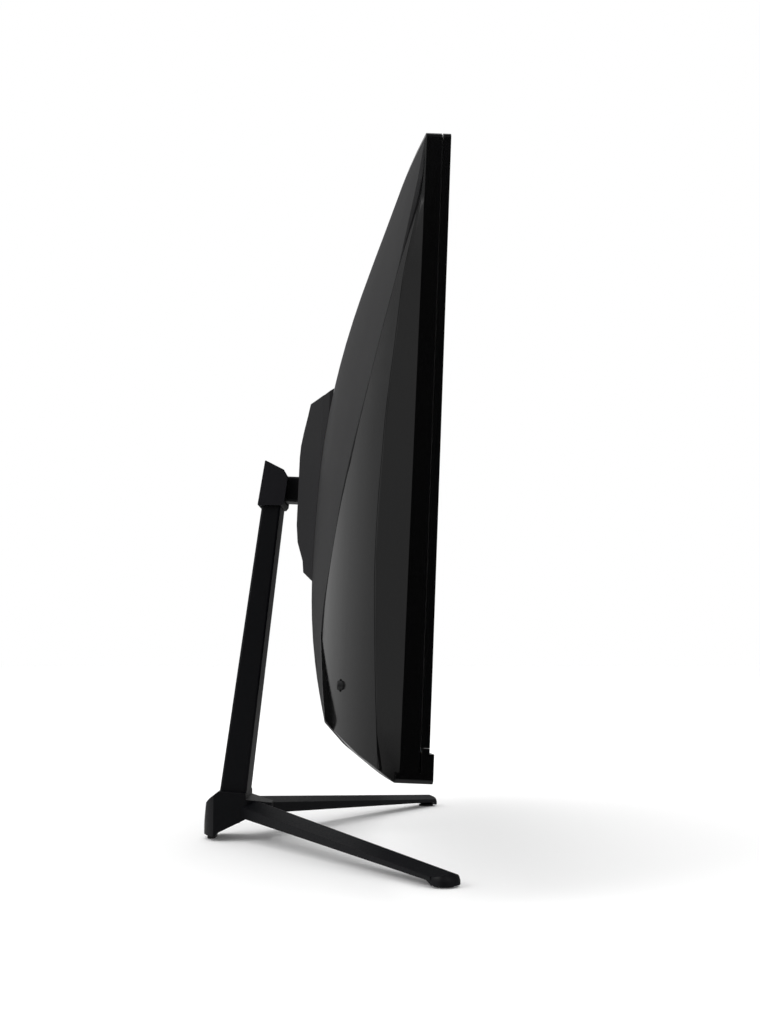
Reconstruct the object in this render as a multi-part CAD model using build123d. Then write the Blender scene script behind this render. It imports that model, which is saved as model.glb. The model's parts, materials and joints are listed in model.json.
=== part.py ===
from build123d import *

import math
import os

# Curved 27-inch desktop monitor on a V-foot stand. Millimetres, +Z up.
# The screen faces -Y and X runs along its width. The origin is on the desk,
# under the centre of the object's box. Head parts are drawn in the head's own
# upright frame and then leaned and lifted onto the stand.

# ---- driving dimensions: head -------------------------------------------------
HEAD_WIDTH = 612.0
HEAD_HEIGHT = 364.6
HEAD_FOOT = -1.3
SCREEN_RADIUS = 1800.0
HEAD_LEAN = 2.26
HEAD_AT = (0.0, -69.863, 68.632)
CORNER_RADIUS = 3.0

FRAME_FRONT = -0.6
FRAME_DEPTH = 3.6
PARTING_GAP = 0.9
BEZEL_LIP = 1.8
CHIN_HEIGHT = 18.0
CHIN_STEP = 15.0
CHIN_FRONT = -3.1
BAND_DEPTH_TOP = 13.2
BAND_DEPTH_BOTTOM = 15.5
WALL = 2.5
GAP = 0.2
COVER_GAP = 0.6
TRIM_WIDTH = 1.2
TRIM_HEIGHTS = (9.0, 80.0)

# Back of the head: (height, depth at the centre, curvature x 10000)
CENTRE_RIDGE = [(-10, 51.0, 0.4), (14, 63.4, 1.0), (40, 73.4, 2.2), (60, 78.2, 3.05),
                (121, 84.0, 4.76), (160, 83.4, 4.9), (200, 81.6, 5.05), (236, 77.8, 5.1),
                (260, 73.7, 4.95), (310, 60.9, 4.3), (364, 39.5, 2.78), (376, 34.4, 2.5)]
# Side bevel: (height, bevel width, depth of its inner edge)
SIDE_BEVEL = [(-10, 1.0, 20.7), (4.5, 1.9, 22.4), (21.5, 3.9, 25.5), (43, 6.8, 29.0),
              (76, 10.5, 30.6), (121, 14.0, 32.7), (142, 13.5, 32.9), (159, 12.6, 32.6),
              (175, 11.0, 31.6), (191, 9.6, 30.4), (208, 8.2, 29.1), (228, 6.5, 27.3),
              (246, 5.3, 25.8), (266, 4.3, 24.0), (287, 3.0, 21.4), (305, 2.0, 18.0),
              (330, 0.9, 14.4), (345, 0.7, 13.9), (376, 0.6, 13.4)]
WING_RADIUS = 390.0
WING_CENTRE = (117.9, -316.0)
# How far the wing surface has sunk toward the screen: (height, drop)
WING_DROP = [(175, 0.0), (191, 0.0), (208, 0.3), (228, 1.3), (246, 2.3), (266, 3.4),
             (287, 4.9), (305, 7.7), (330, 11.2), (345, 12.0), (376, 12.5)]
# Edge of the textured centre cover, right-hand half, from the top down
COVER_EDGE = [(305.5, 350), (302.6, 331), (298.6, 313), (295.5, 291), (290, 272.6), (284.8, 260),
              (275, 235), (263.5, 207.5), (249.5, 182.5), (233, 157), (215.5, 125.4), (200, 98), (195, 76)]
COVER_EDGE_FOOT = (262, 0)
# Right-hand line where the covers meet the middle frame, from the top down
RIM_LINE = [(304.5, 361.9), (304.3, 335), (303.2, 305), (302.2, 287), (300.9, 266), (299.8, 246),
            (298.6, 228), (297.0, 208), (295.5, 191), (294.1, 175), (292.6, 159), (291.6, 142),
            (291.2, 121), (294.6, 76), (298.3, 43), (301.2, 21.5), (303.2, 5)]
# Underside: (depth behind the screen curve, height)
UNDERSIDE = [(13.4, -4.3), (34, 11.4), (47, 25), (60, 42), (110, 119)]

# ---- driving dimensions: mount, hinge and stand ---------------------------------
MOUNT_Z = 191.4
HUMP_FACE = 95.8
# Side view of the mount cover: (depth, height)
HUMP_SIDE = [(40, 277), (66, 262.5), (71.1, 256.8), (77.5, 252.6), (83.9, 250.0), (88.6, 248.2),
             (90.4, 240), (93.2, 228.5), (95.2, 218.4), (HUMP_FACE, 210), (HUMP_FACE, 160),
             (94.4, 147), (89.6, 133), (88.6, 124.5), (82, 118.5), (40, 116)]
# Plan view of the mount cover, left half: (x, depth)
HUMP_PLAN = [(-86, 40), (-84, 74), (-80, 79), (-52, HUMP_FACE)]
VESA_PITCH = 75.0
VESA_PLANE = 90.0
SCREW_M4 = 2.0
RECESS_FLOOR = 84.0
BRACKET_HALF = 84.0
BRACKET_Y = 69.0
BRACKET_SCREWS = [(x, z) for x in (-93, 93) for z in (160, 220)]
PLATE_BOLTS = [(x, MOUNT_Z + dz) for dz in (-12, 12) for x in (-18, 18)]
# Case screws: (x, height, depth of the head's seat)
CASE_SCREWS = [(-120, 282, 58.5), (120, 282, 58.5), (-150, 60, 68.9), (150, 60, 68.9)]

PIVOT = (41.4, 264.4)
SHAFT_R = 3.0
KNUCKLE_R = 5.4
RUN_FIT = 0.03
NECK_HALF = 11.5
NECK_RISE = 9.75
NECK_REACH = 7.2
EAR_THICK = 4.0
CAP_HALF = 23.0
COLUMN_HALF = 20.0
COLUMN_SIDE = [(48.5, 249.9), (34.1, 249.9), (44.2, 160), (58.1, 34.0), (78.2, 34.0)]
COLUMN_HOLLOW = [(46.0, 244), (38.0, 244), (47.3, 160), (59.8, 44), (73.6, 44)]
HUB_HALF = 24.0
HUB_SIDE = [(30, 24.5), (50, 28.6), (57.9, 30.2), (58.0, 34.6), (78.6, 36.2), (85.8, 30.6),
            (88.8, 27.2), (91.5, 7.0), (92, 3.4), (80.6, 3.4), (79.0, 5.8), (56, 16.8), (30, 18.0)]
HEEL_Y = 91.4
BASE_BOLTS = [(-11, 67), (11, 67)]
LEG_ROOT = (9.0, 57.0)
LEG_TIP = (221.6, -81.4)
LEG_ROOT_HALF = 11.5
LEG_TIP_R = 10.0
LEG_START = -30.0
# Ridge of a leg: height at its start, and how much it falls per unit of length
LEG_RIDGE = 32.2
LEG_FALL = 0.079
LEG_ROOF = 0.36

# ---- driving dimensions: controls and sockets ------------------------------------
JOY_AT = (-249.0, 48.8)
JOY_SURFACE = 51.3
JOY_HOLE_R = 3.8
JOY_NUB_R = 2.75
HDMI_X = (-38.0, -17.0)
DISPLAYPORT_X = 6.0
AUDIO_X = 26.0
DC_X = 46.0
SOCKET_Y = 58.7
BAY_TOP = 104.0

SCREEN_CENTRE_Y = -math.sqrt(SCREEN_RADIUS ** 2 - (HEAD_WIDTH / 2) ** 2)
HALF = HEAD_WIDTH / 2
parts = {}


def screen_y(x, depth=0.0):
    """Depth coordinate of a surface that lies depth behind the screen curve."""
    return SCREEN_CENTRE_Y + math.sqrt((SCREEN_RADIUS + depth) ** 2 - x * x)


def slab(d0, d1, half_width, z0, z1):
    """Curved plate between two depths behind the screen curve."""
    arcs = []
    for depth in (d0, d1):
        edge = screen_y(half_width, depth)
        arcs.append(ThreePointArc((-half_width, edge), (0, screen_y(0, depth)), (half_width, edge)))
    front, back = arcs
    outline = [front, Line(front @ 1, back @ 1), back, Line(back @ 0, front @ 0)]
    return Pos(0, 0, z0) * extrude(make_face(outline), z1 - z0, dir=(0, 0, 1))


def block(x0, x1, y0, y1, z0, z1):
    """Box between two corners."""
    return Pos((x0 + x1) / 2, (y0 + y1) / 2, (z0 + z1) / 2) * Box(x1 - x0, y1 - y0, z1 - z0)


def rod(x, z, radius, y0, y1):
    """Round bar along Y."""
    return Pos(x, (y0 + y1) / 2, z) * Rot(90, 0, 0) * Cylinder(radius, y1 - y0)


def cross_rod(y, z, radius, x0, x1):
    """Round bar along X."""
    return Pos((x0 + x1) / 2, y, z) * Rot(0, 90, 0) * Cylinder(radius, x1 - x0)


def post(x, y, radius, z0, z1):
    """Round bar along Z."""
    return Pos(x, y, (z0 + z1) / 2) * Cylinder(radius, z1 - z0)


def ring_rod(x, z, outer, inner, y0, y1):
    """Round tube along Y."""
    return rod(x, z, outer, y0, y1) - rod(x, z, inner, y0 - 1, y1 + 1)


def side_prism(points, x0, x1):
    """Prism along X from (y, z) points."""
    face = make_face(Polyline(*[(x0, y, z) for y, z in points], close=True))
    return extrude(face, x1 - x0, dir=(1, 0, 0))


def front_prism(outline, y0, y1):
    """Prism along Y from closed edges that lie in a plane of constant Y."""
    return extrude(make_face(outline), y1 - y0, dir=(0, 1, 0))


def at_head(shape):
    """Lean a head part and lift it onto the stand."""
    return Location(HEAD_AT, (HEAD_LEAN, 0, 0)) * shape


def keep(name, shape):
    """File a finished piece or group of equal pieces under its name."""
    parts[name] = shape


# ---- outer surfaces of the head --------------------------------------------------
def head_outline():
    """Prism with the rounded front-view outline of the head."""
    plane = Plane.XZ * Pos(0, (HEAD_FOOT + HEAD_HEIGHT) / 2)
    face = plane * RectangleRounded(HEAD_WIDTH, HEAD_HEIGHT - HEAD_FOOT, CORNER_RADIUS)
    return extrude(face, 150, both=True)


def centre_body():
    """Solid behind the screen whose back is the textured centre surface."""
    reach = 330
    sections = []
    for height, ridge, curve in CENTRE_RIDGE:
        edge = ridge - curve * 1e-4 * reach ** 2
        quarter = ridge - curve * 1e-4 * (reach / 2) ** 2
        back = Spline((-reach, edge), (-reach / 2, quarter), (0, ridge), (reach / 2, quarter), (reach, edge))
        rim = Polyline((reach, edge), (reach, -30), (-reach, -30), (-reach, edge))
        sections.append(Pos(0, 0, height) * make_face([back, *rim.edges()]))
    return loft(sections)


def wing_face(drop):
    """Plan section behind the screen, bounded by the two wing arcs."""
    cx, cy = WING_CENTRE
    outer, middle, inner = 320, 250, 190
    on_arc = [(x, cy - drop + math.sqrt(WING_RADIUS ** 2 - (x - cx) ** 2)) for x in (outer, middle, inner)]
    right = ThreePointArc(*on_arc)
    left = mirror(right, about=Plane.YZ)
    over = Polyline(right @ 1, (100, 95), (-100, 95), left @ 1)
    base = Polyline(left @ 0, (-outer, -30), (outer, -30), right @ 0)
    return make_face([right, *over.edges(), left, *base.edges()])


def wing_body():
    """Solid whose back is the glossy wing surface: straight below, sinking toward the top."""
    straight_top = WING_DROP[0][0]
    straight = Pos(0, 0, -10) * extrude(wing_face(0), straight_top + 10, dir=(0, 0, 1))
    sinking = loft([Pos(0, 0, height) * wing_face(drop) for height, drop in WING_DROP])
    return straight + sinking


def band_depth(height):
    share = min(max(height / HEAD_HEIGHT, 0), 1)
    return BAND_DEPTH_BOTTOM + (BAND_DEPTH_TOP - BAND_DEPTH_BOTTOM) * share


def bevel_body():
    """Solid with the side bevels that run from the band to the wings."""
    sections = []
    for height, width, depth in SIDE_BEVEL:
        band = band_depth(height)
        crease = HALF - width
        slope = (depth - band) / width
        half_outline = [(HALF + 2, -30), (HALF + 2, band - 2 * slope), (crease, depth),
                        (crease - 3, depth + 8), (crease - 30, 100)]
        other_half = [(-x, y) for x, y in reversed(half_outline)]
        sections.append(Pos(0, 0, height) * make_face(Polyline(*half_outline, *other_half, close=True)))
    return loft(sections, ruled=True)


def sweep_body():
    """Body of revolution about the screen's axis: parting plane, underside and top."""
    start = SCREEN_RADIUS + FRAME_DEPTH + PARTING_GAP
    profile = [(start, -6)] + [(SCREEN_RADIUS + d, z) for d, z in UNDERSIDE]
    profile += [(SCREEN_RADIUS + 110, HEAD_HEIGHT + 3), (start, HEAD_HEIGHT + 3)]
    face = make_face(Polyline(*[(0, r, z) for r, z in profile], close=True))
    return Pos(0, SCREEN_CENTRE_Y, 0) * revolve(Rot(0, 0, -11) * face, Axis.Z, 22)


def edge_prism(shift):
    """Prism whose sides are the textured cover's edge, moved out by shift."""
    curve = Spline(*[(x + shift, -60, z) for x, z in COVER_EDGE])
    foot = (COVER_EDGE_FOOT[0] + shift, -60, COVER_EDGE_FOOT[1] - 6)
    top = (340, -60, 357 - shift)
    corner = (340, -60, 380)
    right = [Line(corner, top), Line(top, curve @ 0), curve, Line(curve @ 1, foot)]
    left = [mirror(edge, about=Plane.YZ) for edge in right]
    closing = [Line(left[0] @ 0, corner), Line(foot, left[-1] @ 1)]
    return front_prism(right + left + closing, -60, 140)


def rim_prism(shift):
    """Prism inside the crease line; the covers fill it, the middle frame rims it."""
    inset = [(x - shift, z) for x, z in RIM_LINE]
    inset[0] = (inset[0][0], inset[0][1] - shift)
    inset[-1] = (inset[-1][0], inset[-1][1] + shift)
    right = Spline(*[(x, -60, z) for x, z in inset])
    left = mirror(right, about=Plane.YZ)
    outline = [right, Line(right @ 1, left @ 1), left, Line(left @ 0, right @ 0)]
    return front_prism(outline, -60, 140)


# ---- head shell --------------------------------------------------------------------
def head_shell():
    """Middle frame and edge trims; returns the cover skin, the wings and the solid back."""
    centre = centre_body()
    wing = wing_body()
    limits = bevel_body() & sweep_body() & head_outline()
    under_centre = centre & limits
    under_wing = wing & limits
    whole = under_centre & wing

    inner = Pos(0, -WALL - 0.2, 0) * whole
    cavity = inner & block(-HALF + WALL, HALF - WALL, -40, 140, 7.2, HEAD_HEIGHT - WALL)
    cover_zone = rim_prism(0) - inner
    chin_room = slab(0, 17.6, HALF + 5, -4, 4.7)
    keep("middle_frame", at_head(whole - cavity - cover_zone - chin_room))

    field = rim_prism(COVER_GAP)
    middle = edge_prism(-GAP / 2) & field
    trim_zone = block(-320, 320, -20, 120, *TRIM_HEIGHTS)
    skin = (under_centre - Pos(0, -WALL, 0) * under_centre) & middle
    skin -= trim_zone - edge_prism(-GAP / 2 - TRIM_WIDTH - 0.1)
    trim = (under_centre - Pos(0, -8, 0) * under_centre) & middle & trim_zone
    keep("edge_trims", at_head(trim - edge_prism(-GAP / 2 - TRIM_WIDTH)))
    wings = (under_wing - Pos(0, -WALL, 0) * under_wing) & field
    return skin, wings - edge_prism(GAP / 2), under_centre


def vent_slots():
    """Row of narrow slots above the mount cover."""
    slots = Part()
    for index in range(-15, 16):
        slots += block(index * 9 - 1.1, index * 9 + 1.1, 40, 90, 300, 326)
    return slots


def mount_holes():
    half = VESA_PITCH / 2
    return [(sx * half, MOUNT_Z + sz * half) for sx in (-1, 1) for sz in (-1, 1)]


def rear_pieces():
    cover, wings, solid_back = head_shell()
    roof = BAY_TOP + 2
    bay_walls = (block(-64, 64, 52, 120, 64, roof) - block(-62, 62, 54, 120, 66, BAY_TOP)) & solid_back
    bay_walls -= block(-60, 60, 50, 90, 50, 66)
    cover = (cover - block(-64, 64, 50, 120, 64, roof)) + bay_walls
    for socket in (*HDMI_X, DISPLAYPORT_X):
        cover -= block(socket - 8.2, socket + 8.2, SOCKET_Y, 65.3, BAY_TOP - 1, roof + 1)
    cover -= post(AUDIO_X, 62, 3.8, BAY_TOP - 1, roof + 1)
    cover -= block(DC_X - 5.7, DC_X + 5.7, SOCKET_Y, 70.3, BAY_TOP - 1, roof + 1)
    cover -= vent_slots()
    for x, z in mount_holes():
        cover -= rod(x, z, 4.8, 60, 120)
    cover -= block(-33.3, 33.3, 60, 120, MOUNT_Z - 28.3, MOUNT_Z + 28.3)
    cover -= block(-14.3, 14.3, 60, 120, 130, 163.5)
    for x, z, seat in CASE_SCREWS:
        cover += rod(x, z, 5.2, seat - 8, seat + 1)
        cover -= rod(x, z, 3.4, seat, 120) + rod(x, z, 1.7, 10, seat + 1)
    keep("rear_cover", at_head(cover))

    joystick_hole = rod(JOY_AT[0], JOY_AT[1], JOY_HOLE_R, 20, 80)
    keep("wing_left", at_head((wings & block(-320, 0, -20, 140, -5, 370)) - joystick_hole))
    keep("wing_right", at_head(wings & block(0, 320, -20, 140, -5, 370)))
    return solid_back


# ---- front frame and panel ----------------------------------------------------------
def front_pieces():
    window = block(-HALF + BEZEL_LIP, HALF - BEZEL_LIP, -40, 60, -5, HEAD_HEIGHT - BEZEL_LIP)
    outer = head_outline()
    bezel = slab(FRAME_FRONT, FRAME_DEPTH, HALF + 4, CHIN_HEIGHT + 0.2, HEAD_HEIGHT + 4)
    keep("front_bezel", at_head((bezel & outer) - window))

    chin = slab(FRAME_FRONT, FRAME_DEPTH, HALF + 4, -4, CHIN_HEIGHT)
    chin += slab(CHIN_FRONT, 1, HALF + 4, -4, CHIN_STEP)
    chin += slab(3, 17.2, HALF + 4, -4, 4.5) - slab(4.9, 15.4, HALF - 2, 2.2, 6)
    chin -= slab(2.05, FRAME_DEPTH + 1, HALF - 2, 6.5, CHIN_HEIGHT + 1)
    keep("front_chin", at_head(chin & outer))

    keep("lcd_panel", at_head(slab(0.6, 2.0, HALF - 2.1, 18.6, 361.9)))
    keep("prism_sheet", at_head(slab(2.7, 3.0, 299.8, 15.8, 358.2)))
    keep("diffuser_sheet", at_head(slab(3.1, 3.4, 299.8, 15.8, 358.2)))
    keep("light_guide", at_head(slab(3.5, 6.5, 299.8, 15.8, 358.2)))
    keep("reflector_sheet", at_head(slab(6.6, 6.9, 299.8, 15.8, 358.2)))
    mould = slab(5.9, 7.0, 303.2, 8.6, 361.2) + slab(2.1, 6.0, 303.2, 18.2, 361.2)
    mould -= slab(1, 8, 300.2, 12.6, 358.8)
    keep("panel_mould", at_head(mould))
    tray = slab(7.1, 8.1, 303.2, 8.6, 361.2)
    for x in (-200, 0, 200):
        tray -= block(x - 30, x + 30, 0, 60, 300, 306)
    for x, z in BRACKET_SCREWS:
        tray -= rod(x, z, 1.55, 20, 60)
    keep("panel_tray", at_head(tray))

    keep("led_strip", at_head(slab(5.95, 6.9, 298, 12.8, 13.8)))
    leds = []
    for index in range(-24, 25):
        x = index * 12.0
        turn = Rot(0, 0, -math.degrees(x / SCREEN_RADIUS))
        leds.append(at_head(Pos(x, screen_y(x, 6.4), 14.6) * turn * Box(7, 0.9, 1.5)))
    keep("led_row", Compound(leds))


# ---- mount cover, bracket and release -----------------------------------------------
def hump_body(inset):
    """Raised housing over the mount, drawn in by inset on every side."""
    side = make_face(Polyline(*[(-90, y, z) for y, z in HUMP_SIDE], close=True))
    right_half = [(-x, y) for x, y in reversed(HUMP_PLAN)]
    plan = make_face(Polyline(*[(x, y, 100) for x, y in HUMP_PLAN + right_half], close=True))
    if inset:
        side = offset(side, -inset, kind=Kind.INTERSECTION)
        plan = offset(plan, -inset, kind=Kind.INTERSECTION)
    return extrude(side, 180, dir=(1, 0, 0)) & extrude(plan, 200, dir=(0, 0, 1))


def mount_pieces(solid_back):
    seat = Pos(0, 0.05, 0) * solid_back
    cover = hump_body(0) - hump_body(WALL) - seat
    low, high = MOUNT_Z - 28, MOUNT_Z + 28
    cover += block(-33, 33, RECESS_FLOOR - 1.5, HUMP_FACE, low, high) - seat
    cover -= block(-31, 31, RECESS_FLOOR, 110, low + 2, high - 2)
    cover -= block(-24, 24, 70, 110, MOUNT_Z - 18, MOUNT_Z + 18)
    for x, z in mount_holes():
        cover += rod(x, z, 8.2, RECESS_FLOOR, HUMP_FACE) & hump_body(0)
        cover -= rod(x, z, 6.5, VESA_PLANE - 4, 110)
        cover -= rod(x, z, 4.8, 70, 110)
    cover -= block(-12.3, 12.3, 70, 110, 138, 161)
    cover -= block(-5.4, 5.4, 87.1, 90, 159, 168)
    keep("mount_cover", at_head(cover))

    inserts = []
    for x, z in mount_holes():
        inserts.append(at_head(ring_rod(x, z, 4.5, SCREW_M4, BRACKET_Y + 2, VESA_PLANE)))
    keep("vesa_inserts", Compound(inserts))

    foot_y = screen_y(BRACKET_HALF - 2, 8.2)
    bracket = block(-BRACKET_HALF, BRACKET_HALF, BRACKET_Y, BRACKET_Y + 2, 142, 236)
    for side in (-1, 1):
        x0, x1 = sorted((side * (BRACKET_HALF - 2), side * BRACKET_HALF))
        bracket += block(x0, x1, foot_y, BRACKET_Y + 2, 142, 236)
        x0, x1 = sorted((side * (BRACKET_HALF - 2), side * (BRACKET_HALF + 16)))
        bracket += block(x0, x1, foot_y, foot_y + 2, 142, 236)
    for x, z in BRACKET_SCREWS:
        bracket -= rod(x, z, 1.6, 20, 50)
    for x, z in mount_holes():
        bracket -= rod(x, z, 2.6, 60, 80)
    for x, z in PLATE_BOLTS:
        bracket -= rod(x, z, 2.05, 60, 80)
    keep("mount_bracket", at_head(bracket))

    receiver = block(-23, 23, BRACKET_Y + 2, RECESS_FLOOR + 0.2, MOUNT_Z - 17, MOUNT_Z + 17)
    receiver -= block(-12, 12, BRACKET_Y + 1, 86, MOUNT_Z - 7, MOUNT_Z + 7)
    for x, z in PLATE_BOLTS:
        receiver -= rod(x, z, 2.05, 60, 90)
    keep("mount_receiver", at_head(receiver))

    screws = []
    top = foot_y + 2
    for x, z in BRACKET_SCREWS:
        screws.append(at_head(rod(x, z, 1.5, top - 3.4, top) + rod(x, z, 2.8, top, top + 1.8)))
    keep("bracket_screws", Compound(screws))


def pivot_in_head():
    """Tilt axis in the head's own upright frame."""
    lean = math.radians(HEAD_LEAN)
    dy = PIVOT[0] - HEAD_AT[1]
    dz = PIVOT[1] - HEAD_AT[2]
    return dy * math.cos(lean) + dz * math.sin(lean), dz * math.cos(lean) - dy * math.sin(lean)


def neck_pieces():
    pivot_y, pivot_z = pivot_in_head()
    plate = block(-30, 30, 84.3, 87.3, MOUNT_Z - 25, MOUNT_Z + 25)
    for x, z in PLATE_BOLTS:
        plate -= rod(x, z, 2.1, 80, 90)
    keep("mount_plate", at_head(plate))

    bolts = []
    for x, z in PLATE_BOLTS:
        bolts.append(at_head(rod(x, z, 2.0, 67.5, 90.3) + rod(x, z, 3.6, 90.3, 92.6)))
    keep("plate_bolts", Compound(bolts))

    low, high = pivot_z - NECK_RISE, pivot_z + NECK_RISE
    shoulder = pivot_y - NECK_REACH
    neck = block(-22, 22, 87.3, 90.3, MOUNT_Z - 16, MOUNT_Z + 16)
    neck += block(-NECK_HALF, NECK_HALF, 90, shoulder, low, high)
    neck = fillet(neck.edges().filter_by(Axis.Y).group_by(SortBy.LENGTH)[-1], 2.0)
    knuckle = [(shoulder - 1, low + 1), (shoulder, low + 1), (pivot_y - 2.4, pivot_z - 4.8),
               (pivot_y - 2.4, pivot_z + 4.8), (shoulder, high - 1), (shoulder - 1, high - 1)]
    neck += side_prism(knuckle, -NECK_HALF, NECK_HALF)
    neck += cross_rod(pivot_y, pivot_z, KNUCKLE_R, -NECK_HALF, NECK_HALF)
    neck -= cross_rod(pivot_y, pivot_z, SHAFT_R + RUN_FIT, -20, 20)
    for x, z in PLATE_BOLTS:
        neck -= rod(x, z, 2.1, 80, 92)
    keep("neck", at_head(neck))


def release_pieces():
    """Sliding latch under the neck and the spring that lifts it."""
    latch = block(-12, 12, 84.4, 92.6, 142, 160.4)
    nose = [(92, 160.0), (95, 158.8), (97.8, 155.6), (97.5, 153.6), (95, 149.4), (92, 148.0)]
    latch += side_prism(nose, -12, 12)
    latch += block(-5, 5, 87.5, 89.6, 160, 168.4)
    latch += block(-6, 6, 78.4, 85, 150, 156)
    keep("release_latch", at_head(latch))

    low, high, turns = 137.4, 149.6, 6
    path = Helix((high - low) / turns, high - low, 1.6, center=(0, 81.0, low))
    wire = Plane(origin=path @ 0, z_dir=path % 0) * Circle(0.3)
    keep("release_spring", at_head(sweep(wire, path=path)))
    keep("spring_seat", at_head(block(-6, 6, 77.5, 85.4, 134.5, 137) + post(0, 81.0, 1.0, 136, 142)))


# ---- electronics --------------------------------------------------------------------
def board(x0, x1, z0, z1, y, chips):
    """Circuit board with its chips: (x, z, size, height)."""
    shape = block(x0, x1, y, y + 1.6, z0, z1)
    for x, z, size, tall in chips:
        shape += block(x - size / 2, x + size / 2, y + 1.6, y + 1.6 + tall, z - size / 2, z + size / 2)
    return shape


def socket_shell(x, width, height):
    """Metal connector shell, open at the bottom, with its tongue."""
    y, z0, z1 = SOCKET_Y, BAY_TOP, BAY_TOP + 13
    shell = block(x - width / 2, x + width / 2, y, y + height, z0, z1)
    shell -= block(x - width / 2 + 0.5, x + width / 2 - 0.5, y + 0.5, y + height - 0.5, z0 - 1, z1 - 1)
    return shell + block(x - width / 3, x + width / 3, y + 2.2, y + height - 2.6, z0 + 1.5, z1)


def panel_cable():
    """Flat cable from the main board up to the timing board."""
    path = [(58.6, 202), (60.4, 205), (60.4, 214), (46, 236), (42.2, 262), (38.1, 268)]
    outer = [(y + 0.4, z + 0.2) for y, z in reversed(path)]
    return side_prism(path + outer, 14, 46) - block(0, 50, 30, 38.2, 255, 290)


def electronics():
    chips = [(-30, 150, 18, 2.0), (8, 152, 14, 1.4), (38, 140, 9, 1.4), (-58, 176, 8, 6), (55, 180, 9, 7)]
    keep("main_board", at_head(board(-74, 74, 108, 204, 57.0, chips)))
    heatsink = block(-38, -22, 60.7, 62.2, 142, 158)
    for index in range(5):
        heatsink += block(-38 + index * 3.75, -37 + index * 3.75, 62.2, 68, 142, 158)
    keep("heatsink", at_head(heatsink))
    keep("hdmi_sockets", Compound([at_head(socket_shell(x, 15.4, 5.8)) for x in HDMI_X]))
    keep("displayport_socket", at_head(socket_shell(DISPLAYPORT_X, 16.0, 5.8)))
    audio = block(AUDIO_X - 3.5, AUDIO_X + 3.5, SOCKET_Y, 65.5, BAY_TOP + 2.3, 118)
    audio += post(AUDIO_X, 62, 3.4, BAY_TOP, 107)
    keep("audio_socket", at_head(audio - post(AUDIO_X, 62, 1.75, 100, 116)))
    jack = block(DC_X - 5.4, DC_X + 5.4, SOCKET_Y, 70, BAY_TOP, 118) - post(DC_X, 64.4, 3.2, 100, 114)
    keep("dc_socket", at_head(jack + post(DC_X, 64.4, 1.0, 105, 115)))

    caps = [(-150, 110, 10, 9), (-132, 110, 10, 9), (-140, 130, 14, 7), (-160, 140, 8, 4)]
    keep("driver_board", at_head(board(-170, -110, 96, 156, 40.0, caps)))
    timing = [(0, 274, 10, 1.2), (-20, 274, 5, 1.0), (24, 274, 5, 1.0)]
    keep("timing_board", at_head(board(-50, 50, 262, 286, 36.5, timing)))
    keep("panel_cable", at_head(panel_cable()))
    standoffs = []
    for x in (-66, 66):
        for z in (114, 198):
            standoffs.append(at_head(rod(x, z, 2.6, screen_y(x, 8.3), 56.9)))
    keep("board_standoffs", Compound(standoffs))


def joystick_pieces():
    """Four-way menu stick: board, housing, rocking ring, rocking cup and push cap."""
    x, z = JOY_AT
    board_y = JOY_SURFACE - 17.0
    keep("joystick_board", at_head(block(x - 11, x + 11, board_y, board_y + 1.6, z - 12, z + 12)))
    top = board_y + 1.6
    level = top + 4.5
    housing = block(x - 6, x + 6, top, top + 7, z - 6, z + 6)
    housing -= block(x - 5, x + 5, top + 1, top + 8, z - 5, z + 5)
    ring = block(x - 4.5, x + 4.5, level - 1, level + 1, z - 4.5, z + 4.5)
    ring -= block(x - 3.3, x + 3.3, level - 2, level + 2, z - 3.3, z + 3.3)
    cup = block(x - 2.5, x + 2.5, level - 1.5, level + 4, z - 2.5, z + 2.5)
    for side in (-1, 1):
        housing -= cross_rod(level, z, 0.72, x + side * 5.5 - 0.6, x + side * 5.5 + 0.6)
        ring += cross_rod(level, z, 0.7, x + side * 5.15 - 0.7, x + side * 5.15 + 0.7)
        ring -= post(x, level, 0.52, z + side * 3.9 - 0.8, z + side * 3.9 + 0.8)
        cup += post(x, level, 0.5, z + side * 3.25 - 0.95, z + side * 3.25 + 0.95)
    keep("joystick_housing", at_head(housing))
    keep("joystick_ring", at_head(ring))
    keep("joystick_cup", at_head(cup - rod(x, z, 1.53, level - 0.5, level + 5)))
    stem = rod(x, z, 1.5, level + 1.2, level + 7)
    nub = rod(x, z, JOY_NUB_R, level + 5.6, JOY_SURFACE + 2.2)
    nub = fillet(nub.edges().sort_by(Axis.Y)[-1:], 0.8)
    keep("joystick_cap", at_head(stem + nub))


def case_fixings():
    """Screws through the rear cover and the posts on the panel tray that take them."""
    screws = []
    posts = []
    for x, z, seat in CASE_SCREWS:
        screws.append(at_head(rod(x, z, 1.5, seat - 16, seat) + rod(x, z, 2.9, seat, seat + 1.6)))
        posts.append(at_head(ring_rod(x, z, 3.6, 1.55, screen_y(abs(x) - 3.6, 8.2), seat - 8.1)))
    keep("case_screws", Compound(screws))
    keep("case_posts", Compound(posts))


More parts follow.
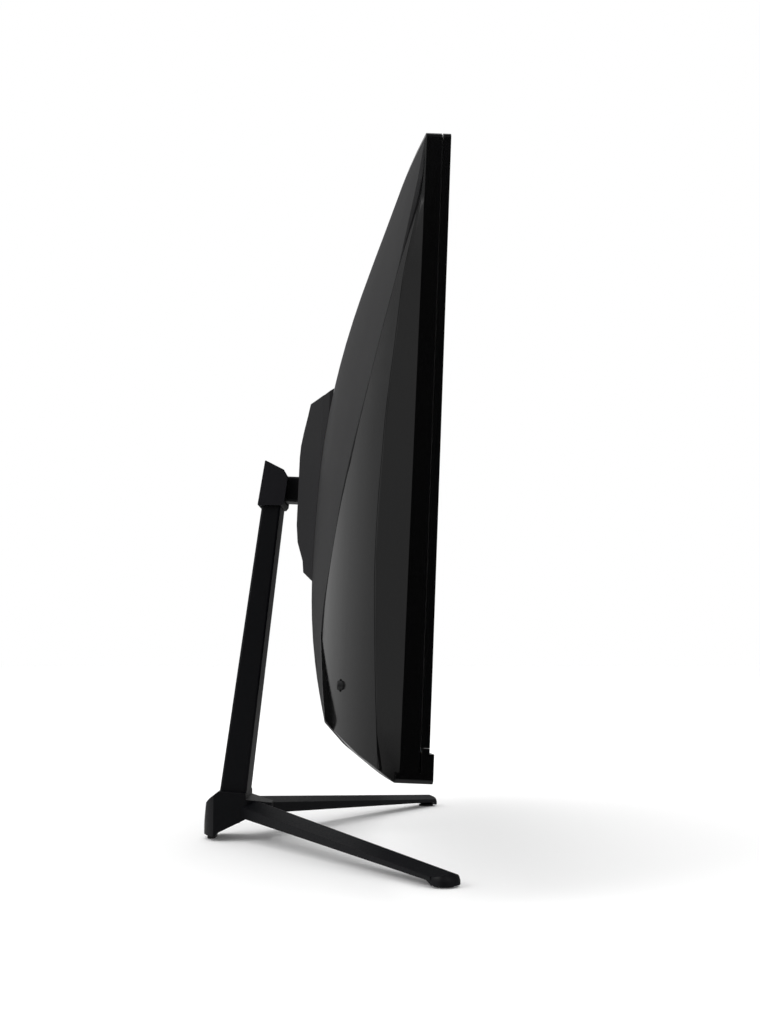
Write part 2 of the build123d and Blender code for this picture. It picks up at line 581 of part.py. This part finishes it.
# ---- stand --------------------------------------------------------------------------
def column_pieces():
    column = side_prism(COLUMN_SIDE, -COLUMN_HALF, COLUMN_HALF)
    column = fillet(column.edges().filter_by(lambda e: abs((e % 0).X) < 0.1 and e.length > 60), 1.8)
    column -= side_prism(COLUMN_HOLLOW, -COLUMN_HALF + 3, COLUMN_HALF - 3)
    for x in (-7, 7):
        column -= post(x, PIVOT[0], 1.7, 240, 255)
    for x, y in BASE_BOLTS:
        column -= post(x, y, 2.05, 30, 41)
    keep("column", column)

    shell = [(45.9, 284.7), (31.5, 277.3), (28.4, 271.8), (31.2, 252.2), (33.0, 250.0), (51.5, 250.0)]
    hollow = [(44.6, 281.5), (33.6, 275.6), (31.4, 271.4), (34.0, 253.5), (37.8, 252.8),
              (37.8, 240), (49.7, 240), (49.7, 249.8)]
    cap = side_prism(shell, -CAP_HALF, CAP_HALF)
    cap = fillet(cap.edges().filter_by(Axis.X), 0.7)
    cap -= side_prism(hollow, -CAP_HALF + 2.8, CAP_HALF - 2.8)
    cap -= block(-NECK_HALF - 1, NECK_HALF + 1, 20, 38.2, PIVOT[1] - NECK_RISE - 1.6, 300)
    keep("head_cap", cap)


def hinge_pieces():
    y, z = PIVOT
    inner = NECK_HALF + 0.8
    outer = inner + EAR_THICK
    bracket = block(-outer, outer, 38.2, 48.8, 250.0, 252.6)
    ear_side = [(38.2, 250.0), (48.4, 250.0), (y + KNUCKLE_R - 0.1, z), (y - KNUCKLE_R + 0.1, z)]
    for side in (-1, 1):
        x0, x1 = sorted((side * inner, side * outer))
        bracket += side_prism(ear_side, x0, x1) + cross_rod(y, z, KNUCKLE_R, x0, x1)
    bracket -= cross_rod(y, z, SHAFT_R + 0.02, -30, 30)
    for x in (-7, 7):
        bracket -= post(x, y, 2.1, 245, 256)
    keep("hinge_bracket", bracket)

    shaft = cross_rod(y, z, SHAFT_R, -outer - 0.2, outer + 3.6)
    shaft += cross_rod(y, z, 5.2, -outer - 3.0, -outer - 0.05)
    keep("tilt_shaft", shaft)
    nut_face = Plane.YZ * Pos(y, z) * RegularPolygon(5.3, 6)
    nut = Pos(outer + 0.05, 0, 0) * extrude(nut_face, 3.4, dir=(1, 0, 0))
    keep("shaft_nut", nut - cross_rod(y, z, SHAFT_R + 0.02, 0, 40))
    washers = []
    for side in (-1, 1):
        x = side * (NECK_HALF + 0.42)
        ring = cross_rod(y, z, 5.2, x - 0.35, x + 0.35) - cross_rod(y, z, SHAFT_R + 0.05, x - 2, x + 2)
        washers.append(ring)
    keep("friction_washers", Compound(washers))
    bolts = [post(x, y, 1.6, 241, 253) + post(x, y, 3.2, 252.6, 254.6) for x in (-7, 7)]
    keep("bracket_bolts", Compound(bolts))


def leg(side):
    """One tapering foot bar with a ridged top, a domed tip and a stepped underside."""
    root = (side * LEG_ROOT[0], LEG_ROOT[1])
    tip = (side * LEG_TIP[0], LEG_TIP[1])
    run = math.dist(root, tip)
    dx, dy = (tip[0] - root[0]) / run, (tip[1] - root[1]) / run

    def along(s, across, height):
        return (root[0] + dx * s - dy * across, root[1] + dy * s + dx * across, height)

    plan = [along(0, -LEG_ROOT_HALF, 0), along(run, -LEG_TIP_R, 0),
            along(run, LEG_TIP_R, 0), along(0, LEG_ROOT_HALF, 0)]
    bar = extrude(make_face(Polyline(*plan, close=True)), 60, dir=(0, 0, 1))
    dome = Polyline((0, -45), (LEG_TIP_R, -45), (LEG_TIP_R, 3.6), (9.4, 5.8), (8.2, 7.6), (6.4, 9.0),
                    (4.2, 9.8), (0, 10.2), close=True)
    bar += Pos(*tip, 0) * revolve(Plane.XZ * make_face(dome), Axis.Z, 360)

    reach = 20
    eaves = LEG_RIDGE - LEG_ROOF * reach
    section = [(-reach, eaves), (0, LEG_RIDGE), (reach, eaves), (reach, -45), (-reach, -45)]
    face = make_face(Polyline(*[along(LEG_START, w, h) for w, h in section], close=True))
    length = run + 60
    roof = extrude(face, length * math.hypot(1, LEG_FALL), dir=(dx, dy, -LEG_FALL))

    profile = [(LEG_START, 60), (run + 12, 60), (run + 12, 1.3), (run + 1, 1.3), (run - 4, 3.9),
               (LEG_START, 19.1)]
    outline = make_face(Polyline(*[along(s, -40, h) for s, h in profile], close=True))
    return bar & roof & extrude(outline, 80, dir=(-dy, dx, 0))


def base_pieces():
    plan_arc = ThreePointArc((HUB_HALF, 82), (0, HEEL_Y), (-HUB_HALF, 82))
    rim = Polyline((-HUB_HALF, 82), (-HUB_HALF, 57), (-8, 40), (8, 40), (HUB_HALF, 57), (HUB_HALF, 82))
    plan = extrude(make_face([plan_arc, *rim.edges()]), 60, dir=(0, 0, 1))
    hub = side_prism(HUB_SIDE, -60, 60) & plan
    socket = [(57.3, 40), (57.95, 33.9), (78.35, 33.9), (77.6, 40)]
    hub -= side_prism(socket, -COLUMN_HALF - 0.1, COLUMN_HALF + 0.1)
    for side, name in ((-1, "leg_left"), (1, "leg_right")):
        x0, x1 = sorted((0, side * 300))
        shape = (leg(side) - hub) & block(x0, x1, -200, 200, 0, 60)
        keep(name, shape.solids().sort_by(SortBy.VOLUME)[-1])
    for x, y in BASE_BOLTS:
        hub -= post(x, y, 2.2, 0, 40) + post(x, y, 3.8, 0, 14.2)
    keep("base_hub", hub)
    bolts = [post(x, y, 2.0, 14.0, 40.0) + post(x, y, 3.4, 11.8, 14.2) for x, y in BASE_BOLTS]
    keep("base_bolts", Compound(bolts))

    pads = [post(side * LEG_TIP[0], LEG_TIP[1], 6.5, 0, 1.3) for side in (-1, 1)]
    heel = block(-9, 9, 82.4, 88.2, 0, 3.4)
    pads.append(fillet(heel.edges().filter_by(Axis.Z), 1.5))
    keep("rubber_feet", Compound(pads))


def build_all():
    solid_back = rear_pieces()
    front_pieces()
    mount_pieces(solid_back)
    neck_pieces()
    release_pieces()
    electronics()
    joystick_pieces()
    case_fixings()
    column_pieces()
    hinge_pieces()
    base_pieces()


build_all()
os.makedirs("parts", exist_ok=True)
for node, shape in parts.items():
    export_step(shape, f"parts/{node}.step")
    print(node, len(shape.solids()), round(shape.volume))
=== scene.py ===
import json
import math

import bmesh
import bpy
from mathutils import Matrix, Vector


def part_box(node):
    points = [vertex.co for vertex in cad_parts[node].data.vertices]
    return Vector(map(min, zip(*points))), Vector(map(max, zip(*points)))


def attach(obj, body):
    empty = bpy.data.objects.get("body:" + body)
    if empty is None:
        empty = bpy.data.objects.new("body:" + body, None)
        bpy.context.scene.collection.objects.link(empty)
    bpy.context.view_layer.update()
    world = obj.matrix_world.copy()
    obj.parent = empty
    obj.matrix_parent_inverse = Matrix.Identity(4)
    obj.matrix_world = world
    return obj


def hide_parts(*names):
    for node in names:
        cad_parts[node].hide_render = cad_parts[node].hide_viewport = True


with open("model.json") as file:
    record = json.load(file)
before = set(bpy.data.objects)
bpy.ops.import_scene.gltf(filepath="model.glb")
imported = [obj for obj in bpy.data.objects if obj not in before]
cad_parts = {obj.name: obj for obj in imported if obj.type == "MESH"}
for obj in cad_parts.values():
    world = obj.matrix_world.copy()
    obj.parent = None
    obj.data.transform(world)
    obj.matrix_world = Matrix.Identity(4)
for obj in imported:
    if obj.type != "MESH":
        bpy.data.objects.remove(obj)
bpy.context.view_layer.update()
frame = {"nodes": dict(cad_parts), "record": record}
nodes = frame["nodes"]


# ---- materials ------------------------------------------------------------------
def new_material(name, color, roughness, metallic=0.0):
    """A Principled material with object-space texture coordinates ready to use."""
    material = bpy.data.materials.new(name)
    material.use_nodes = True
    tree = material.node_tree
    shader = tree.nodes["Principled BSDF"]
    shader.inputs["Base Color"].default_value = (*color, 1)
    shader.inputs["Roughness"].default_value = roughness
    shader.inputs["Metallic"].default_value = metallic
    coords = tree.nodes.new("ShaderNodeTexCoord")
    return material, tree, shader, coords.outputs["Object"]


def noise(tree, vector, scale, detail=3.0, roughness=0.55):
    node = tree.nodes.new("ShaderNodeTexNoise")
    node.inputs["Scale"].default_value = scale
    node.inputs["Detail"].default_value = detail
    node.inputs["Roughness"].default_value = roughness
    tree.links.new(vector, node.inputs["Vector"])
    return node.outputs["Fac"]


def stretched(tree, vector, scale):
    node = tree.nodes.new("ShaderNodeMapping")
    node.inputs["Scale"].default_value = scale
    tree.links.new(vector, node.inputs["Vector"])
    return node.outputs["Vector"]


def remap(tree, value, low, high, source=(0.3, 0.7)):
    node = tree.nodes.new("ShaderNodeMapRange")
    node.inputs["From Min"].default_value = source[0]
    node.inputs["From Max"].default_value = source[1]
    node.inputs["To Min"].default_value = low
    node.inputs["To Max"].default_value = high
    tree.links.new(value, node.inputs["Value"])
    return node.outputs["Result"]


def product(tree, first, second):
    node = tree.nodes.new("ShaderNodeMath")
    node.operation = "MULTIPLY"
    tree.links.new(first, node.inputs[0])
    tree.links.new(second, node.inputs[1])
    return node.outputs["Value"]


def bump(tree, shader, height, distance, strength=1.0):
    node = tree.nodes.new("ShaderNodeBump")
    node.inputs["Distance"].default_value = distance
    node.inputs["Strength"].default_value = strength
    tree.links.new(height, node.inputs["Height"])
    tree.links.new(node.outputs["Normal"], shader.inputs["Normal"])


def blend_color(tree, factor, dark, light):
    node = tree.nodes.new("ShaderNodeMix")
    node.data_type = "RGBA"
    node.inputs["A"].default_value = (*dark, 1)
    node.inputs["B"].default_value = (*light, 1)
    tree.links.new(factor, node.inputs["Factor"])
    return node.outputs["Result"]


def tinted(color, factor):
    return tuple(channel * factor for channel in color)


def moulded(name, color, roughness, grain=1800.0, depth=0.00006, spread=0.18, gloss_spread=0.04):
    """Moulded plastic: fine spark-eroded grain, faint tone and gloss variation."""
    material, tree, shader, at = new_material(name, color, roughness)
    fine = noise(tree, at, grain, 4.0, 0.6)
    broad = noise(tree, at, 9.0, 2.0)
    tone = blend_color(tree, remap(tree, fine, 0, 1), tinted(color, 1 - spread), tinted(color, 1 + spread))
    tree.links.new(tone, shader.inputs["Base Color"])
    tree.links.new(remap(tree, broad, roughness - gloss_spread, roughness + gloss_spread),
                   shader.inputs["Roughness"])
    bump(tree, shader, fine, depth)
    return material


def polished(name, color, roughness, ripple=0.00002, specular=0.5):
    """Polished plastic: slow flow ripple and a thin haze that varies."""
    material, tree, shader, at = new_material(name, color, roughness)
    shader.inputs["Specular IOR Level"].default_value = specular
    flow = noise(tree, at, 35.0, 2.0)
    haze = noise(tree, at, 240.0, 5.0, 0.7)
    tree.links.new(remap(tree, haze, roughness * 0.85, roughness * 1.2), shader.inputs["Roughness"])
    tone = blend_color(tree, remap(tree, flow, 0, 1), tinted(color, 0.9), tinted(color, 1.1))
    tree.links.new(tone, shader.inputs["Base Color"])
    bump(tree, shader, flow, ripple)
    return material


def painted(name, color, roughness, specular=0.3):
    """Satin powder coat: orange-peel ripple under a fine sparkle of grain."""
    material, tree, shader, at = new_material(name, color, roughness)
    shader.inputs["Specular IOR Level"].default_value = specular
    peel = noise(tree, at, 700.0, 2.0)
    fine = noise(tree, at, 2600.0, 3.0)
    tone = blend_color(tree, remap(tree, fine, 0, 1), tinted(color, 0.8), tinted(color, 1.25))
    tree.links.new(tone, shader.inputs["Base Color"])
    tree.links.new(remap(tree, peel, roughness - 0.05, roughness + 0.06), shader.inputs["Roughness"])
    bump(tree, shader, peel, 0.00004)
    return material


def metal(name, color, roughness, brush=(40.0, 40.0, 900.0)):
    """Brushed or plated metal with directional scratches."""
    material, tree, shader, at = new_material(name, color, roughness, 1.0)
    scratches = noise(tree, stretched(tree, at, brush), 1.0, 4.0, 0.65)
    stains = noise(tree, at, 30.0, 3.0)
    tree.links.new(remap(tree, scratches, roughness - 0.08, roughness + 0.1), shader.inputs["Roughness"])
    tone = blend_color(tree, remap(tree, stains, 0, 1), tinted(color, 0.85), tinted(color, 1.08))
    tree.links.new(tone, shader.inputs["Base Color"])
    bump(tree, shader, scratches, 0.00002)
    return material


def circuit(name):
    """Green solder mask with lighter green runs where the copper lies."""
    material, tree, shader, at = new_material(name, (0.01, 0.09, 0.03), 0.35)
    cells = tree.nodes.new("ShaderNodeTexVoronoi")
    cells.distance = "MANHATTAN"
    cells.inputs["Scale"].default_value = 210.0
    tree.links.new(at, cells.inputs["Vector"])
    runs = remap(tree, cells.outputs["Distance"], 0, 1, (0.42, 0.5))
    tone = blend_color(tree, runs, (0.008, 0.07, 0.022), (0.02, 0.16, 0.05))
    tree.links.new(tone, shader.inputs["Base Color"])
    bump(tree, shader, runs, 0.00003)
    return material


# Black margin of the screen and the width over which it fades, in metres
SCREEN_BORDER = 0.005
BORDER_SOFTNESS = 0.0003


def screen(name):
    """Anti-glare screen: black border around a very dark, finely etched active area."""
    material, tree, shader, at = new_material(name, (0.004, 0.004, 0.005), 0.3)
    etch = noise(tree, at, 2400.0, 2.0)
    split = tree.nodes.new("ShaderNodeSeparateXYZ")
    tree.links.new(at, split.inputs["Vector"])
    across = tree.nodes.new("ShaderNodeMath")
    across.operation = "ABSOLUTE"
    tree.links.new(split.outputs["X"], across.inputs[0])
    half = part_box("lcd_panel")[1].x - SCREEN_BORDER
    border = remap(tree, across.outputs["Value"], 0, 1, (half - BORDER_SOFTNESS, half + BORDER_SOFTNESS))
    tone = blend_color(tree, border, (0.0075, 0.0078, 0.0088), (0.002, 0.002, 0.002))
    tree.links.new(tone, shader.inputs["Base Color"])
    tree.links.new(remap(tree, etch, 0.27, 0.36), shader.inputs["Roughness"])
    bump(tree, shader, etch, 0.000012)
    return material


def film(name, color):
    """Optical film: milky, fine parallel prisms."""
    material, tree, shader, at = new_material(name, color, 0.35)
    ridges = noise(tree, stretched(tree, at, (2.0, 2.0, 3000.0)), 1.0, 1.0)
    tree.links.new(remap(tree, ridges, 0.25, 0.45), shader.inputs["Roughness"])
    bump(tree, shader, ridges, 0.00002)
    return material


def rubber(name):
    material, tree, shader, at = new_material(name, (0.012, 0.012, 0.012), 0.8)
    grain = noise(tree, at, 1500.0, 4.0, 0.7)
    tone = blend_color(tree, remap(tree, grain, 0, 1), (0.008, 0.008, 0.008), (0.02, 0.02, 0.02))
    tree.links.new(tone, shader.inputs["Base Color"])
    tree.links.new(remap(tree, grain, 0.7, 0.9), shader.inputs["Roughness"])
    bump(tree, shader, grain, 0.0001)
    return material


def make_materials():
    """A finish for each slot of the record, and for two pieces of their own: the mount cover, and the head
    cap, whose lighter tone than the stand paint is painted light.
    """
    return {
        "gloss_shell": polished("gloss_shell", (0.0009, 0.0009, 0.001), 0.12),
        "wing_gloss": polished("wing_gloss", (0.002, 0.002, 0.0022), 0.14),
        "textured_shell": moulded("textured_shell", (0.0148, 0.0145, 0.0158), 0.6),
        "screen_glass": screen("screen_glass"),
        "optical_film": film("optical_film", (0.75, 0.78, 0.8)),
        "clear_acrylic": film("clear_acrylic", (0.8, 0.85, 0.85)),
        "mould_plastic": moulded("mould_plastic", (0.03, 0.03, 0.03), 0.5),
        "sheet_steel": metal("sheet_steel", (0.52, 0.53, 0.55), 0.38),
        "screw_steel": metal("screw_steel", (0.16, 0.16, 0.17), 0.35),
        "brass_insert": metal("brass_insert", (0.72, 0.52, 0.2), 0.3, (900.0, 40.0, 900.0)),
        "socket_metal": metal("socket_metal", (0.6, 0.6, 0.61), 0.22),
        "socket_plastic": moulded("socket_plastic", (0.01, 0.01, 0.01), 0.45),
        "circuit_board": circuit("circuit_board"),
        "led_phosphor": moulded("led_phosphor", (0.8, 0.68, 0.2), 0.3),
        "heatsink_metal": metal("heatsink_metal", (0.4, 0.4, 0.42), 0.4),
        "control_plastic": moulded("control_plastic", (0.012, 0.012, 0.013), 0.42, 2200.0, 0.00003),
        "stand_paint": painted("stand_paint", (0.0018, 0.0021, 0.0036), 0.46),
        "foot_rubber": rubber("foot_rubber"),
        "mount_cover": moulded("mount_cover", (0.0085, 0.0082, 0.0098), 0.64),
        # head_cap is the stand's satin paint made lighter; this lighter tone is painted light, standing in
        # for the brighter light that falls on the cap
        "head_cap": painted("head_cap", (0.0062, 0.0058, 0.0088), 0.5),
    }


# ---- finished pieces --------------------------------------------------------------
# Outer pieces and the radius of the rounding that moulding or painting leaves on
# their edges, in metres
EDGE_ROUNDING = {
    "rear_cover": 0.00015, "wing_left": 0.00015, "wing_right": 0.00015, "mount_cover": 0.0005,
    "middle_frame": 0.0003, "front_bezel": 0.0004, "front_chin": 0.0006, "neck": 0.0008,
    "head_cap": 0.0009, "column": 0.0006, "base_hub": 0.0012, "leg_left": 0.0012, "leg_right": 0.0012,
    "rubber_feet": 0.0004, "release_latch": 0.0005, "joystick_cap": 0.0005, "joystick_ring": 0.0002,
    "hinge_bracket": 0.0003, "mount_plate": 0.0004, "mount_receiver": 0.0005, "plate_bolts": 0.0003,
    "case_screws": 0.0003, "shaft_nut": 0.0003, "tilt_shaft": 0.0003, "vesa_inserts": 0.0002,
    "hdmi_sockets": 0.0002, "displayport_socket": 0.0002, "dc_socket": 0.0003, "base_bolts": 0.0003,
}
ROUNDING_SEGMENTS = 3
# Edges sharper than this are rounded; large shell mouldings keep shallower creases too
EDGE_ANGLE = math.radians(28)
CRISP_ANGLE = math.radians(9)
CRISP = {"rear_cover", "wing_left", "wing_right", "middle_frame", "mount_cover"}
# Faces that bend less than this are joined, and points nearer than this are one point
FLAT_ANGLE = math.radians(0.05)
SAME_POINT = 1e-6


def rounded_copy(name, radius):
    """Mesh of a CAD node with its flat faces joined and its sharp edges rounded."""
    mesh = bmesh.new()
    mesh.from_mesh(nodes[name].data)
    bmesh.ops.remove_doubles(mesh, verts=mesh.verts, dist=SAME_POINT)
    bmesh.ops.dissolve_limit(mesh, angle_limit=FLAT_ANGLE, verts=mesh.verts, edges=mesh.edges)
    crease = CRISP_ANGLE if name in CRISP else EDGE_ANGLE
    for face in mesh.faces:
        face.smooth = True
    for edge in mesh.edges:
        edge.smooth = len(edge.link_faces) == 2 and edge.calc_face_angle(0) < crease
    data = bpy.data.meshes.new(name + "_finished")
    mesh.to_mesh(data)
    mesh.free()
    piece = bpy.data.objects.new(name + "_finished", data)
    bpy.context.collection.objects.link(piece)
    rounding = piece.modifiers.new("edges", "BEVEL")
    rounding.width = radius
    rounding.segments = ROUNDING_SEGMENTS
    rounding.limit_method = "ANGLE"
    rounding.angle_limit = crease
    rounding.harden_normals = True
    shading = piece.modifiers.new("normals", "WEIGHTED_NORMAL")
    shading.keep_sharp = True
    return piece


def finish_pieces(materials):
    """Puts rounded copies in place of the outer nodes and gives every piece its finish."""
    body_of = {}
    for body, members in frame["record"]["behaviour"]["bodies"].items():
        for node in members:
            body_of[node] = body
    for part in frame["record"]["subparts"]:
        name, slot = part["node"], part["material_slot"]
        piece = nodes[name]
        if name in EDGE_ROUNDING:
            piece = rounded_copy(name, EDGE_ROUNDING[name])
            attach(piece, body_of[name])
            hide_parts(name)
        piece.data.materials.clear()
        piece.data.materials.append(materials[name if name in materials else slot])


# ---- surroundings -----------------------------------------------------------------
CAMERA_AT = (-1.0683, -0.051, 0.1377)
CAMERA_PITCH, CAMERA_YAW = 0.106, 0.009
CAMERA_LENS, CAMERA_SENSOR = 49.28, 36.0
FLOOR_SIZE = 30.0
FLOOR_LEVEL = -0.0002
# Name, place, size and power of each area light
LIGHTS = [
    ("key", (-1.6, 2.2, 2.4), 1.6, 22.0),
    ("fill", (-2.4, -1.6, 1.8), 2.2, 10.0),
    ("top", (0.4, 0.2, 2.8), 2.0, 12.0),
]
LIGHT_AIM = Vector((0, 0, 0.2))


def make_camera():
    data = bpy.data.cameras.new("camera")
    data.lens = CAMERA_LENS
    data.sensor_width = CAMERA_SENSOR
    camera = bpy.data.objects.new("camera", data)
    bpy.context.collection.objects.link(camera)
    camera.location = CAMERA_AT
    pitch, yaw = CAMERA_PITCH, CAMERA_YAW
    aim = Vector((math.cos(pitch) * math.cos(yaw), math.cos(pitch) * math.sin(yaw), math.sin(pitch)))
    camera.rotation_euler = aim.to_track_quat("-Z", "Y").to_euler()
    bpy.context.scene.camera = camera


def make_world():
    """White studio to the eye, with darker walls for what the gloss mirrors."""
    world = bpy.data.worlds.new("studio")
    bpy.context.scene.world = world
    world.use_nodes = True
    tree = world.node_tree
    tree.nodes.clear()
    out = tree.nodes.new("ShaderNodeOutputWorld")
    path = tree.nodes.new("ShaderNodeLightPath")
    coords = tree.nodes.new("ShaderNodeTexCoord")
    split = tree.nodes.new("ShaderNodeSeparateXYZ")
    tree.links.new(coords.outputs["Generated"], split.inputs["Vector"])
    across = remap(tree, split.outputs["X"], 0.50, 0.27, (-0.6, 0.6))
    window = remap(tree, split.outputs["X"], 1.0, 1.6, (0.6, 0.95))
    left_wall = remap(tree, split.outputs["X"], 0.03, 1.0, (-0.95, -0.7))
    front_wall = remap(tree, split.outputs["Y"], 0.4, 1.0, (-0.4, 0.1))
    ceiling = remap(tree, split.outputs["Z"], 1.0, 0.15, (0.45, 0.85))
    walls = product(tree, product(tree, across, window), product(tree, left_wall, front_wall))
    walls = product(tree, walls, ceiling)
    mirror_view = tree.nodes.new("ShaderNodeBackground")
    mirror_view.inputs["Color"].default_value = (1, 1, 1, 1)
    tree.links.new(walls, mirror_view.inputs["Strength"])
    plain = tree.nodes.new("ShaderNodeBackground")
    plain.inputs["Color"].default_value = (1, 1, 1, 1)
    plain.inputs["Strength"].default_value = 1.0
    mix = tree.nodes.new("ShaderNodeMixShader")
    tree.links.new(path.outputs["Is Glossy Ray"], mix.inputs["Fac"])
    tree.links.new(plain.outputs["Background"], mix.inputs[1])
    tree.links.new(mirror_view.outputs["Background"], mix.inputs[2])
    tree.links.new(mix.outputs["Shader"], out.inputs["Surface"])


def make_floor():
    bpy.ops.mesh.primitive_plane_add(size=FLOOR_SIZE, location=(0, 0, FLOOR_LEVEL))
    floor = bpy.context.object
    floor.name = "floor"
    material, _, shader, _ = new_material("pale_floor", (0.97, 0.97, 0.97), 0.9)
    shader.inputs["Specular IOR Level"].default_value = 0.0
    shader.inputs["Emission Color"].default_value = (1, 1, 1, 1)
    shader.inputs["Emission Strength"].default_value = 0.04
    floor.data.materials.append(material)
    floor.visible_glossy = False


def make_lights():
    for name, at, size, power in LIGHTS:
        data = bpy.data.lights.new(name, "AREA")
        data.size = size
        data.energy = power
        light = bpy.data.objects.new(name, data)
        bpy.context.collection.objects.link(light)
        light.location = at
        light.rotation_euler = (LIGHT_AIM - Vector(at)).to_track_quat("-Z", "Y").to_euler()


make_camera()
make_world()
make_floor()
make_lights()
finish_pieces(make_materials())
bpy.context.scene.view_settings.view_transform = "Standard"
